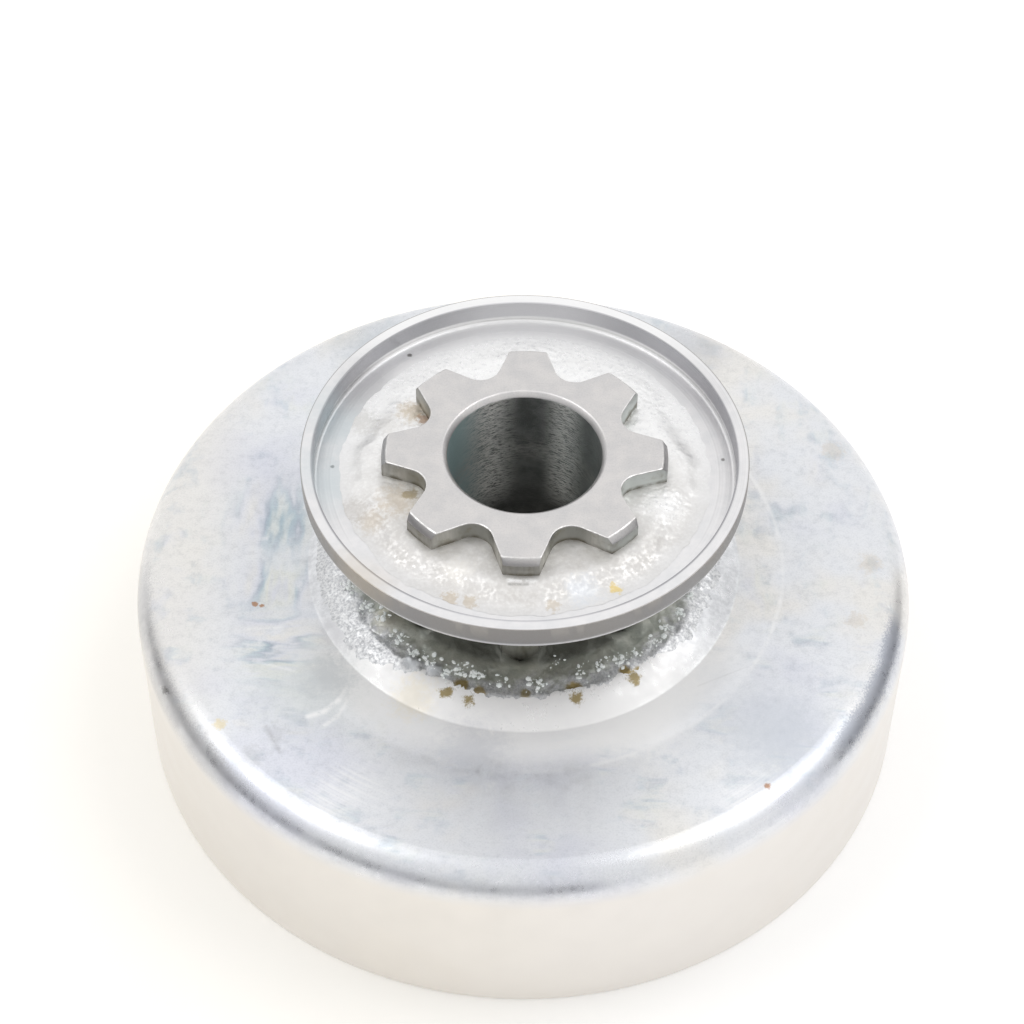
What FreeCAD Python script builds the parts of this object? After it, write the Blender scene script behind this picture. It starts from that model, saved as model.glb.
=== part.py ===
import FreeCAD, Part
import math
import os

# Chainsaw clutch drum with a brazed-on spur sprocket and a dished chain guide plate, in millimetres.
# The origin is the centre of the drum's open rim, on which it stands. +Z runs up the bore axis,
# towards the free end of the sprocket, and one sprocket tooth points along -Y.

# Drum: one pressed steel cup, open side down
DRUM_DIAMETER = 73.3            # outside
DRUM_HEIGHT = 18.7              # open rim to the flat of the closed face
DRUM_WALL = 2.4                 # sheet thickness of the wall and the face
SHOULDER_RADIUS = 3.0           # outside bend between the wall and the face
INSIDE_CORNER = 1.0             # flat across the inside corner, above the friction wall
RIM_CHAMFER = 0.4               # both edges of the open rim

# Collar: the raised middle of the drum's face, which guides the inner side of the chain.
# Its widths add up outwards from the tips of the sprocket's teeth.
SEAT_MARGIN = 2.0               # flat seat beyond the tooth tips
SEAT_SLOPE_WIDTH = 1.8          # edge of the seat to the crest
SEAT_DEPTH = 1.0                # crest down to the seat
CREST_WIDTH = 0.4
FLANK_WIDTH = 3.1               # crest to the foot of the collar
FLANK_HEIGHT = 1.3
CLIMB_WIDTH = 4.2               # foot of the collar to the flat of the face
CLIMB_HEIGHT = 0.2              # the face climbs by this much on the way in
RECESS_DEPTH = 0.8              # hollow behind the collar, inside the drum
RECESS_MARGIN = 1.5             # flat of the recess beyond the seat above it
RECESS_SLOPE_WIDTH = 2.5

# Sprocket: a turned blank with eight gaps milled along it
TOOTH_COUNT = 8
TIP_DIAMETER = 26.0
ROOT_DIAMETER = 19.2
ROOT_FILLET = 1.9               # radius of the round root between two teeth
TIP_WIDTH = 3.25                # across one tooth at the tip diameter
TOOTH_LENGTH = 14.8             # seat to the free end
TIP_CHAMFER_INSET = 0.45        # turned chamfer round the free end of the teeth
TIP_CHAMFER_DEPTH = 0.65
SPIGOT_DIAMETER = 23.0          # plain end that locates the sprocket in the drum
SPIGOT_PROUD = 1.6              # how far the spigot stands out of the recess inside the drum
SPIGOT_CHAMFER = 0.5
BORE_DIAMETER = 14.0            # runs on a needle cage
BORE_CHAMFER = 0.45
CUTTER_OVERRUN = 2.0            # the milled gaps run this far past the blank

# Guide plate: a dished ring pressed over the free end of the teeth
PLATE_DIAMETER = 40.6
PLATE_SHEET = 1.1
PLATE_BELOW_END = 0.35          # free end of the sprocket to the top of the plate's rim
PLATE_DEPTH = 2.3               # top of the rim to the floor
PLATE_CORNER = 0.3              # small flat inside, in the corner between the floor and the rim
PLATE_BEND = 1.9                # outside bend between the underside and the rim
BEND_FLATS = 3                  # that bend is made of this many cones

# Braze: the pools of filler metal that hold the plate and the sprocket
PLATE_POOL_MARGIN = 1.6         # bare floor between the pool and the corner of the rim
PLATE_POOL_EDGE = 0.12          # thickness at the outer edge of the pool
PLATE_POOL_CLIMB = 0.85         # further thickness gained up to the roots of the teeth
COLLAR_POOL_CLIMB = 0.65        # height over the crest at the roots of the teeth

# Radii and levels worked out from the sizes above
drum_radius = DRUM_DIAMETER / 2
friction_radius = drum_radius - DRUM_WALL
tip_radius = TIP_DIAMETER / 2
root_radius = ROOT_DIAMETER / 2
spigot_radius = SPIGOT_DIAMETER / 2
bore_radius = BORE_DIAMETER / 2
plate_radius = PLATE_DIAMETER / 2
plate_inner_radius = plate_radius - PLATE_SHEET
plate_floor_radius = plate_inner_radius - PLATE_CORNER
plate_pool_radius = plate_floor_radius - PLATE_POOL_MARGIN
seat_radius = tip_radius + SEAT_MARGIN
crest_inner_radius = seat_radius + SEAT_SLOPE_WIDTH
crest_outer_radius = crest_inner_radius + CREST_WIDTH
collar_radius = crest_outer_radius + FLANK_WIDTH
face_flat_radius = collar_radius + CLIMB_WIDTH
recess_inner_radius = seat_radius + RECESS_MARGIN
recess_outer_radius = recess_inner_radius + RECESS_SLOPE_WIDTH
inside_sprocket_wall = (bore_radius + root_radius) / 2

face_level = DRUM_HEIGHT
ceiling_level = face_level - DRUM_WALL
collar_level = face_level + CLIMB_HEIGHT
crest_level = collar_level + FLANK_HEIGHT
seat_level = crest_level - SEAT_DEPTH
recess_level = ceiling_level + RECESS_DEPTH
spigot_level = recess_level - SPIGOT_PROUD
end_level = seat_level + TOOTH_LENGTH
plate_rim_level = end_level - PLATE_BELOW_END
plate_floor_level = plate_rim_level - PLATE_DEPTH
plate_underside_level = plate_floor_level - PLATE_SHEET


def at(radius, level):
    """A point of a half section, in the XZ plane."""
    return FreeCAD.Vector(radius, 0, level)


def line(start, end):
    return Part.makeLine(start, end)


def arc(start, middle, end):
    return Part.Arc(start, middle, end).toShape()


def bend(centre, radius, first_angle, last_angle):
    """Points of a small bend of a half section, at angles in degrees from the outward direction."""
    step = (last_angle - first_angle) / BEND_FLATS
    angles = [math.radians(first_angle + index * step) for index in range(BEND_FLATS + 1)]
    return [centre + at(radius * math.cos(angle), radius * math.sin(angle)) for angle in angles]


def chain(*points):
    """Straight edges through the points, in order."""
    return [line(a, b) for a, b in zip(points, points[1:])]


def revolve(edges):
    """The solid that a closed half section sweeps in a full turn about the bore axis."""
    section = Part.Face(Part.Wire(edges))
    return section.revolve(FreeCAD.Vector(0, 0, 0), FreeCAD.Vector(0, 0, 1), 360)


def polar(radius, angle):
    """A point on the XY plane, at an angle in radians from +X."""
    return FreeCAD.Vector(radius * math.cos(angle), radius * math.sin(angle), 0)


def make_drum():
    """The cup: wall, rounded shoulder, face, and the collar that rises round the sprocket's seat."""
    shoulder_start = at(drum_radius, face_level - SHOULDER_RADIUS)
    shoulder_end = at(drum_radius - SHOULDER_RADIUS, face_level)
    shoulder_diagonal = SHOULDER_RADIUS * (1 - math.sqrt(0.5))
    shoulder_middle = at(drum_radius - shoulder_diagonal, face_level - shoulder_diagonal)
    edges = [arc(shoulder_start, shoulder_middle, shoulder_end)]
    edges += chain(
        shoulder_end,
        at(face_flat_radius, face_level),
        at(collar_radius, collar_level),
        at(crest_outer_radius, crest_level),
        at(crest_inner_radius, crest_level),
        at(seat_radius, seat_level),
        at(spigot_radius, seat_level),
        at(spigot_radius, recess_level),
        at(recess_inner_radius, recess_level),
        at(recess_outer_radius, ceiling_level),
        at(friction_radius - INSIDE_CORNER, ceiling_level),
        at(friction_radius, ceiling_level - INSIDE_CORNER),
        at(friction_radius, RIM_CHAMFER),
        at(friction_radius + RIM_CHAMFER, 0),
        at(drum_radius - RIM_CHAMFER, 0),
        at(drum_radius, RIM_CHAMFER),
        shoulder_start,
    )
    return revolve(edges)


def make_tooth_gap():
    """The cutter's prism for one gap: two flanks that run from the tip corners to a round root."""
    half_pitch = math.pi / TOOTH_COUNT
    middle = half_pitch - math.pi / 2
    half_tip = math.asin(TIP_WIDTH / 2 / tip_radius)
    root_centre = polar(root_radius + ROOT_FILLET, middle)
    root_bottom = polar(root_radius, middle)
    flanks = []
    for side in (-1, 1):
        tip_corner = polar(tip_radius, middle + side * (half_pitch - half_tip))
        reach = tip_corner - root_centre
        bearing = math.atan2(reach.y, reach.x)
        swing = math.acos(ROOT_FILLET / reach.Length)
        tangent = root_centre + polar(ROOT_FILLET, bearing + side * swing)
        beyond = tip_corner - tangent
        beyond.normalize()
        flanks.append((tangent, tip_corner + beyond * CUTTER_OVERRUN))
    (first_tangent, first_outer), (second_tangent, second_outer) = flanks
    edges = [
        line(first_outer, first_tangent),
        arc(first_tangent, root_bottom, second_tangent),
        line(second_tangent, second_outer),
        line(second_outer, first_outer),
    ]
    gap = Part.Face(Part.Wire(edges))
    gap.translate(FreeCAD.Vector(0, 0, seat_level))
    return gap.extrude(FreeCAD.Vector(0, 0, TOOTH_LENGTH + CUTTER_OVERRUN))


def make_sprocket():
    """The turned blank with its spigot, bore and chamfers, then the gaps cut round it."""
    outline = [
        at(bore_radius, spigot_level + BORE_CHAMFER),
        at(bore_radius + BORE_CHAMFER, spigot_level),
        at(spigot_radius - SPIGOT_CHAMFER, spigot_level),
        at(spigot_radius, spigot_level + SPIGOT_CHAMFER),
        at(spigot_radius, seat_level),
        at(tip_radius, seat_level),
        at(tip_radius, end_level - TIP_CHAMFER_DEPTH),
        at(tip_radius - TIP_CHAMFER_INSET, end_level),
        at(bore_radius + BORE_CHAMFER, end_level),
        at(bore_radius, end_level - BORE_CHAMFER),
    ]
    sprocket = revolve(chain(*outline, outline[0]))
    gap = make_tooth_gap()
    for index in range(TOOTH_COUNT):
        cutter = gap.copy()
        cutter.rotate(FreeCAD.Vector(0, 0, 0), FreeCAD.Vector(0, 0, 1), index * 360 / TOOTH_COUNT)
        sprocket = sprocket.cut(cutter)
    return sprocket


def make_guide_plate(sprocket):
    """The dished ring, with a star-shaped hole that the teeth fill."""
    bend_centre = at(plate_radius - PLATE_BEND, plate_underside_level + PLATE_BEND)
    outline = [
        at(inside_sprocket_wall, plate_underside_level),
        at(inside_sprocket_wall, plate_floor_level),
        at(plate_floor_radius, plate_floor_level),
        at(plate_inner_radius, plate_floor_level + PLATE_CORNER),
        at(plate_inner_radius, plate_rim_level),
        at(plate_radius, plate_rim_level),
        *bend(bend_centre, PLATE_BEND, 0, -90),
    ]
    return revolve(chain(*outline, outline[0])).cut(sprocket)


def make_plate_braze(sprocket):
    """The pool on the plate's floor, thickest between the teeth."""
    edge_level = plate_floor_level + PLATE_POOL_EDGE
    outline = [
        at(root_radius, plate_floor_level),
        at(plate_pool_radius, plate_floor_level),
        at(plate_pool_radius, edge_level),
        at(root_radius, edge_level + PLATE_POOL_CLIMB),
    ]
    return revolve(chain(*outline, outline[0])).cut(sprocket)


def make_collar_braze(sprocket):
    """The pool in the collar, from the crest to the foot of the teeth."""
    outline = [
        at(root_radius, seat_level),
        at(seat_radius, seat_level),
        at(crest_inner_radius, crest_level),
        at(root_radius, crest_level + COLLAR_POOL_CLIMB),
    ]
    return revolve(chain(*outline, outline[0])).cut(sprocket)


def main():
    sprocket = make_sprocket()
    nodes = {
        "clutch_drum": make_drum(),
        "spur_sprocket": sprocket,
        "guide_plate": make_guide_plate(sprocket),
        "plate_braze": make_plate_braze(sprocket),
        "collar_braze": make_collar_braze(sprocket),
    }
    os.makedirs("parts", exist_ok=True)
    for name, shape in nodes.items():
        shape.exportStep("parts/" + name + ".step")


main()
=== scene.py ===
"""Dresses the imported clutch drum: fine meshes, metal finishes, floor, lights and the photo's camera."""
import math
import random
from functools import cached_property

import bmesh
import bpy
from mathutils import Matrix, Vector, noise


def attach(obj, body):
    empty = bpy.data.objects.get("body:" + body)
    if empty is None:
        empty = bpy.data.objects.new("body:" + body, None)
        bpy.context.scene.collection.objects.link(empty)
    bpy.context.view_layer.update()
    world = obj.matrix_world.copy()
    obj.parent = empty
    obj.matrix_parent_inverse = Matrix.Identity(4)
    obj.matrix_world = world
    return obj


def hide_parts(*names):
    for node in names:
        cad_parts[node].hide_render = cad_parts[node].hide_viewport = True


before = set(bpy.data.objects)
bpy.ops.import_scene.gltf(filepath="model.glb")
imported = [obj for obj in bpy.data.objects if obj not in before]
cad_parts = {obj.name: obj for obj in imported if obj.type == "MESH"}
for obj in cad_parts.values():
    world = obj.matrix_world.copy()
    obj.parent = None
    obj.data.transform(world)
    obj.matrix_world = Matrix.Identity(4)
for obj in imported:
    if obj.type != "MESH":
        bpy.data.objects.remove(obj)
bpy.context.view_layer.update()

MM = 0.001
FULL_TURN = 2 * math.pi

# Sizes of the part in millimetres, the same as in its source
DRUM_RADIUS = 36.65
FRICTION_RADIUS = 34.25
FACE_LEVEL = 18.7
CEILING_LEVEL = 16.3
SHOULDER_RADIUS = 3.0
INSIDE_CORNER = 1.0
RIM_CHAMFER = 0.4
FACE_FLAT_RADIUS = 24.5
COLLAR_RADIUS = 20.3
COLLAR_LEVEL = 18.9
CREST_OUTER_RADIUS = 17.2
CREST_INNER_RADIUS = 16.8
CREST_LEVEL = 20.2
SEAT_RADIUS = 15.0
SEAT_LEVEL = 19.2
RECESS_INNER_RADIUS = 16.5
RECESS_OUTER_RADIUS = 19.0
RECESS_LEVEL = 17.1
TOOTH_COUNT = 8
TIP_RADIUS = 13.0
TIP_WIDTH = 3.25
TIP_CHAMFER_INSET = 0.45
TIP_CHAMFER_DEPTH = 0.65
ROOT_RADIUS = 9.6
ROOT_FILLET = 1.9
END_LEVEL = 34.0
BORE_RADIUS = 7.0
BORE_CHAMFER = 0.45
SPIGOT_RADIUS = 11.5
SPIGOT_CHAMFER = 0.5
SPIGOT_LEVEL = 15.5
PLATE_RADIUS = 20.3
PLATE_INNER_RADIUS = 19.2
PLATE_CORNER = 0.3
PLATE_BEND = 1.9
PLATE_RIM_LEVEL = 33.65
PLATE_FLOOR_LEVEL = 31.35
PLATE_UNDERSIDE_LEVEL = 30.25
PLATE_POOL_RADIUS = 17.3
PLATE_POOL_EDGE = 0.12
PLATE_POOL_CLIMB = 0.85
COLLAR_POOL_CLIMB = 0.65

HALF_PITCH = math.pi / TOOTH_COUNT
HALF_TIP = math.asin(TIP_WIDTH / 2 / TIP_RADIUS)
# Bearing of the tooth that points at the viewer
TOOTH_BEARING = -math.pi / 2

# How finely the pieces are divided, and how far two points may be apart and still be one
DRUM_STEPS = 256
SAME_POINT = 0.002 * MM
SHARP_ANGLE = math.radians(28)
LEVEL_NORMAL = 0.99999


def at(radius, level):
    """A point of a half section, in the XZ plane, from millimetres."""
    return Vector((radius * MM, 0, level * MM))


def polar(radius, turn, level=0):
    """A point at an angle in radians from +X, from millimetres."""
    return Vector((radius * math.cos(turn), radius * math.sin(turn), level)) * MM


def smooth_step(low, high, value):
    """0 below low, 1 above high, and a soft ramp between them."""
    share = min(max((value - low) / (high - low), 0), 1)
    return share * share * (3 - 2 * share)


def only(kind, items):
    return [item for item in items if isinstance(item, kind)]


def spin(bm, geometry, angle, steps, centre=(0, 0, 0), **settings):
    return bmesh.ops.spin(
        bm, geom=geometry, cent=centre, axis=(0, 0, 1), dvec=(0, 0, 0),
        angle=angle, steps=steps, **settings,
    )["geom_last"]


def ring_edges(bm, radius, level):
    """The edges that run round the axis at one radius and level."""
    def on_ring(vert):
        return (abs(vert.co.xy.length - radius * MM) < SAME_POINT
                and abs(vert.co.z - level * MM) < SAME_POINT)
    return [edge for edge in bm.edges if all(on_ring(vert) for vert in edge.verts)]


def bevel(bm, edges, size, segments):
    return bmesh.ops.bevel(
        bm, geom=edges, offset=size * MM, offset_type="OFFSET", affect="EDGES",
        segments=segments, profile=0.5, material=-1, clamp_overlap=False,
    )["faces"]


def round_rings(bm, rings):
    """Bevels rings. Each is a radius and a level, then a size and the number of segments."""
    for radius, level, size, segments in rings:
        bevel(bm, ring_edges(bm, radius, level), size, segments)


def add_object(name, data):
    item = bpy.data.objects.new(name, data)
    bpy.context.scene.collection.objects.link(item)
    return item


def add_mesh(bm, name, *finishes):
    mesh = bpy.data.meshes.new(name)
    bm.to_mesh(mesh)
    bm.free()
    for finish in finishes:
        mesh.materials.append(finish)
    return add_object(name, mesh)


def add_piece(bm, name, node, slot, *finishes, evened=True):
    """Makes a bmesh a piece that stands for a CAD node. Level faces stay flat, the rest is smooth."""
    bmesh.ops.recalc_face_normals(bm, faces=bm.faces)
    for face in bm.faces:
        face.smooth = abs(face.normal.z) < LEVEL_NORMAL
    for edge in bm.edges:
        edge.smooth = edge.calc_face_angle(0) < SHARP_ANGLE
    piece = add_mesh(bm, name, *finishes)
    if evened:
        piece.modifiers.new("even_shading", "WEIGHTED_NORMAL").keep_sharp = True
    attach(piece, "root")
    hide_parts(node)


# Drum
COLLAR_SWELL = 0.12
COLLAR_FLANK_STEPS = 6
COLLAR_CREASE = 0.12
CREST_ROUND = 0.15
FACE_CREASE = 0.25
RECESS_BEND = 0.8


def flank_level(share):
    """Level of the collar's flank, which swells a little, from its foot at 0 to its crest at 1."""
    level = COLLAR_LEVEL + share * (CREST_LEVEL - COLLAR_LEVEL)
    return level + COLLAR_SWELL * 4 * share * (1 - share)


def make_drum(plated):
    """The cup: its half section spun round the axis, then its rings rounded."""
    flank = []
    for step in range(1, COLLAR_FLANK_STEPS):
        share = step / COLLAR_FLANK_STEPS
        radius = COLLAR_RADIUS + share * (CREST_OUTER_RADIUS - COLLAR_RADIUS)
        flank.append((radius, flank_level(share)))
    section = [
        (DRUM_RADIUS, 0),
        (DRUM_RADIUS, FACE_LEVEL),
        (FACE_FLAT_RADIUS, FACE_LEVEL),
        (COLLAR_RADIUS, COLLAR_LEVEL),
        *flank,
        (CREST_OUTER_RADIUS, CREST_LEVEL),
        (CREST_INNER_RADIUS, CREST_LEVEL),
        (SEAT_RADIUS, SEAT_LEVEL),
        (SPIGOT_RADIUS, SEAT_LEVEL),
        (SPIGOT_RADIUS, RECESS_LEVEL),
        (RECESS_INNER_RADIUS, RECESS_LEVEL),
        (RECESS_OUTER_RADIUS, CEILING_LEVEL),
        (FRICTION_RADIUS, CEILING_LEVEL),
        (FRICTION_RADIUS, 0),
    ]
    bm = bmesh.new()
    verts = [bm.verts.new(at(*point)) for point in section]
    edges = [bm.edges.new(pair) for pair in zip(verts, verts[1:] + verts[:1])]
    spin(bm, verts + edges, FULL_TURN, DRUM_STEPS, use_merge=True)
    bmesh.ops.remove_doubles(bm, verts=bm.verts, dist=SAME_POINT)
    round_rings(bm, [
        (DRUM_RADIUS, FACE_LEVEL, SHOULDER_RADIUS, 10),
        (FRICTION_RADIUS, CEILING_LEVEL, INSIDE_CORNER, 5),
        (DRUM_RADIUS, 0, RIM_CHAMFER, 3),
        (FRICTION_RADIUS, 0, RIM_CHAMFER, 3),
        (FACE_FLAT_RADIUS, FACE_LEVEL, FACE_CREASE, 2),
        (COLLAR_RADIUS, COLLAR_LEVEL, COLLAR_CREASE, 2),
        (CREST_OUTER_RADIUS, CREST_LEVEL, CREST_ROUND, 3),
        (CREST_INNER_RADIUS, CREST_LEVEL, CREST_ROUND, 3),
        (RECESS_OUTER_RADIUS, CEILING_LEVEL, RECESS_BEND, 3),
    ])
    add_piece(bm, "pressed_drum", "clutch_drum", "drum_steel", plated)


# Star outline of the sprocket
class StarLoop:
    """A closed loop of edges that is swept along: each vertex keeps its angle and the star's radius there."""
    KEPT = ("turn", "reach", "out")

    def __init__(self, level, tip_steps, flank_cuts, root_steps):
        self.bm = bmesh.new()
        self.layers = self.bm.verts.layers.float
        for name in self.KEPT:
            self.layers.new(name)
        self.turn, self.reach, self.out = [self.layers[name] for name in self.KEPT]
        self.draw_star(tip_steps, flank_cuts, root_steps)
        for vert in self.bm.verts:
            vert[self.turn] = math.atan2(vert.co.y, vert.co.x)
            vert[self.reach] = vert.co.xy.length / MM
            vert.co.z = level * MM
        self.edges = self.bm.edges[:]
        self.first = self.edges

    def draw_star(self, tip_steps, flank_cuts, root_steps):
        """One tooth and one gap from arcs and flanks, then turned round the axis."""
        bm = self.bm
        gap = TOOTH_BEARING + HALF_PITCH
        root_centre = polar(ROOT_RADIUS + ROOT_FILLET, gap)
        flanks = []
        for side in (-1, 1):
            corner = polar(TIP_RADIUS, gap + side * (HALF_PITCH - HALF_TIP))
            reach = corner - root_centre
            bearing = math.atan2(reach.y, reach.x)
            swing = bearing + side * math.acos(ROOT_FILLET * MM / reach.length)
            tangent = root_centre + polar(ROOT_FILLET, swing)
            flanks.append((corner, self.chamfer_point(corner, tangent), tangent, swing))
        (_, first_mid, first_tangent, first_swing), (last_corner, last_mid, _, last_swing) = flanks
        start = bm.verts.new(polar(TIP_RADIUS, TOOTH_BEARING - HALF_TIP))
        end = spin(bm, [start], 2 * HALF_TIP, tip_steps)[0]
        chamfered = self.extend(end, first_mid)
        tangent = self.extend(chamfered, first_tangent)
        root_turn = (last_swing - first_swing) % FULL_TURN - FULL_TURN
        root_end = spin(bm, [tangent], root_turn, root_steps, centre=root_centre)[0]
        long_edges = [bm.edges.get((chamfered, tangent))]
        chamfered = self.extend(root_end, last_mid)
        long_edges.append(bm.edges.get((root_end, chamfered)))
        self.extend(chamfered, last_corner)
        bmesh.ops.subdivide_edges(bm, edges=long_edges, cuts=flank_cuts)
        spin(bm, bm.verts[:] + bm.edges[:], FULL_TURN * (TOOTH_COUNT - 1) / TOOTH_COUNT,
             TOOTH_COUNT - 1, use_duplicate=True)
        bmesh.ops.remove_doubles(bm, verts=bm.verts, dist=SAME_POINT)

    def chamfer_point(self, corner, tangent):
        """Where a flank crosses the inner edge of the chamfer round the tips."""
        along = tangent - corner
        wanted = ((TIP_RADIUS - TIP_CHAMFER_INSET) * MM) ** 2
        b = corner.dot(along) / along.length_squared
        c = (corner.length_squared - wanted) / along.length_squared
        return corner + along * (-b - math.sqrt(b * b - c))

    def extend(self, vert, place):
        new = bmesh.ops.extrude_vert_indiv(self.bm, verts=[vert])["verts"][0]
        new.co = place
        return new

    def sweep(self, radius, level, material=0, out=0):
        """Extrudes the loop. Radius and level are in millimetres, or functions of the star's radius."""
        made = bmesh.ops.extrude_edge_only(self.bm, edges=self.edges)["geom"]
        verts = set(only(bmesh.types.BMVert, made))
        for vert in verts:
            reach = vert[self.reach]
            new_radius = radius(reach) if callable(radius) else radius
            new_level = level(reach) if callable(level) else level
            vert.co = polar(new_radius, vert[self.turn], new_level)
            vert[self.out] = out
        self.edges = [edge for edge in only(bmesh.types.BMEdge, made) if verts.issuperset(edge.verts)]
        faces = only(bmesh.types.BMFace, made)
        for face in faces:
            face.material_index = material
        return faces

    def close(self, material=0):
        """Joins the last loop to the first."""
        for face in bmesh.ops.bridge_loops(self.bm, edges=self.edges + self.first)["faces"]:
            face.material_index = material

    def done(self):
        for name in self.KEPT:
            self.layers.remove(self.layers[name])
        return self.bm


def star(reach):
    return reach


# Sprocket
EDGE_BREAK = 0.1


def make_sprocket(ground, milled, bored, worn):
    """The star swept up the teeth, over the ground end, down the bore and back along the spigot."""
    ground_end, flanks, bore, edges = range(4)
    chamfer_radius = TIP_RADIUS - TIP_CHAMFER_INSET
    slope = TIP_CHAMFER_DEPTH / TIP_CHAMFER_INSET
    loop = StarLoop(SEAT_LEVEL, tip_steps=10, flank_cuts=8, root_steps=14)
    for radius, level, material in (
            (star, lambda reach: END_LEVEL - slope * max(reach - chamfer_radius, 0), flanks),
            (lambda reach: min(reach, chamfer_radius), END_LEVEL, ground_end),
            (BORE_RADIUS + BORE_CHAMFER, END_LEVEL, ground_end),
            (BORE_RADIUS, END_LEVEL - BORE_CHAMFER, ground_end),
            (BORE_RADIUS, SPIGOT_LEVEL + BORE_CHAMFER, bore),
            (BORE_RADIUS + BORE_CHAMFER, SPIGOT_LEVEL, flanks),
            (SPIGOT_RADIUS - SPIGOT_CHAMFER, SPIGOT_LEVEL, flanks),
            (SPIGOT_RADIUS, SPIGOT_LEVEL + SPIGOT_CHAMFER, flanks),
            (SPIGOT_RADIUS, SEAT_LEVEL, flanks)):
        loop.sweep(radius, level, material)
    loop.close(flanks)
    bm = loop.done()
    bmesh.ops.remove_doubles(bm, verts=bm.verts, dist=SAME_POINT)
    bmesh.ops.recalc_face_normals(bm, faces=bm.faces)
    top = (END_LEVEL - 2 * TIP_CHAMFER_DEPTH) * MM
    rims = [edge for edge in bm.edges
            if min(vert.co.z for vert in edge.verts) > top and edge.calc_face_angle(0) > SHARP_ANGLE]
    for face in bevel(bm, rims, EDGE_BREAK, 2):
        middle = face.calc_center_median() / MM
        if middle.z > END_LEVEL - EDGE_BREAK and middle.xy.length > BORE_RADIUS + 2 * BORE_CHAMFER:
            face.material_index = edges
    add_piece(bm, "toothed_sprocket", "spur_sprocket", "sprocket_steel",
              ground, milled, bored, worn, evened=False)


# Guide plate
PLATE_EDGE_BREAK = 0.06
PLATE_MIDDLE_RADIUS = 15.0


def make_plate(satin):
    """The dished ring: the star-shaped hole swept out along the underside and back over the rim."""
    loop = StarLoop(PLATE_UNDERSIDE_LEVEL, tip_steps=10, flank_cuts=6, root_steps=14)
    for radius, level in (
            (PLATE_MIDDLE_RADIUS, PLATE_UNDERSIDE_LEVEL),
            (PLATE_RADIUS, PLATE_UNDERSIDE_LEVEL),
            (PLATE_RADIUS, PLATE_RIM_LEVEL),
            (PLATE_INNER_RADIUS, PLATE_RIM_LEVEL),
            (PLATE_INNER_RADIUS, PLATE_FLOOR_LEVEL),
            (PLATE_MIDDLE_RADIUS, PLATE_FLOOR_LEVEL),
            (star, PLATE_FLOOR_LEVEL)):
        loop.sweep(radius, level)
    loop.close()
    bm = loop.done()
    round_rings(bm, [
        (PLATE_RADIUS, PLATE_UNDERSIDE_LEVEL, PLATE_BEND, 8),
        (PLATE_INNER_RADIUS, PLATE_FLOOR_LEVEL, PLATE_CORNER, 3),
        (PLATE_RADIUS, PLATE_RIM_LEVEL, PLATE_EDGE_BREAK, 2),
    ])
    add_piece(bm, "dished_plate", "guide_plate", "plate_steel", satin)


# Braze pools
POOL_STEPS = {"tip_steps": 16, "flank_cuts": 14, "root_steps": 26}
POOL_RINGS = 44
LUMP_SIZE = 2.2


def grains(place, size):
    """Rounded grains of a size in millimetres: 1 in the middle of a grain, 0 far from any."""
    near = noise.voronoi(place / size)[0][0]
    return max(1 - near, 0)


def lumps(place, size):
    return noise.fractal(place / size, 1.0, 2.0, 3)


def wavy(turn, waves):
    """A smooth wobble round the axis, between about -1 and 1."""
    return noise.fractal(polar(waves / MM, turn), 1.0, 2.0, 3)


def shape_pool(loop, top_faces, outer, height):
    """Divides a pool's top finely, then moves it to its outer edge and height, both functions."""
    radial = {edge for face in top_faces for edge in face.edges
              if edge.verts[0][loop.out] != edge.verts[1][loop.out]}
    split = bmesh.ops.subdivide_edges(loop.bm, edges=list(radial), cuts=POOL_RINGS, use_grid_fill=True)
    divided = only(bmesh.types.BMEdge, split["geom_split"])
    for vert in {vert for edge in divided for vert in edge.verts}:
        turn = vert[loop.turn]
        reach = vert[loop.reach]
        share = vert[loop.out]
        radius = reach + (outer(turn) - reach) * share
        vert.co = polar(radius, turn, height(turn, radius, radius - reach, share))


PLATE_GRAIN = 0.42
PLATE_GRAIN_HEIGHT = 0.06
PLATE_GRAIN_MIDDLE = 0.45
PLATE_LUMP_HEIGHT = 0.05
PLATE_POOL_WOBBLE = 0.35
PLATE_POOL_DRAWN_IN = 1.2
PLATE_POOL_THIN = 0.04
PLATE_POOL_LEAST = 0.01
PLATE_POOL_DEPTH = 0.7
PLATE_POOL_SLOPE = (PLATE_POOL_RADIUS - 0.5, 13.2)
PLATE_POOL_FEATHER = 0.45
# How coarse the pool is at the back, in the bed of crystals and elsewhere, and where its back thins
BACK_COARSENESS = 0.7
BED_COARSENESS = 1.7
LEAST_COARSENESS = 0.3
COARSE_BACK = (-3, 9)
THIN_BACK = (3, 11)
BACK_THINNING = 0.85
CRYSTAL_BED = Vector((12.6, -4.4, 0))
CRYSTAL_BED_RADIUS = 3.4


def plate_pool_edge(turn):
    uneven = wavy(turn, 3) + 0.5 * wavy(turn, 11)
    return PLATE_POOL_RADIUS + PLATE_POOL_WOBBLE * (uneven - PLATE_POOL_DRAWN_IN)


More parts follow.
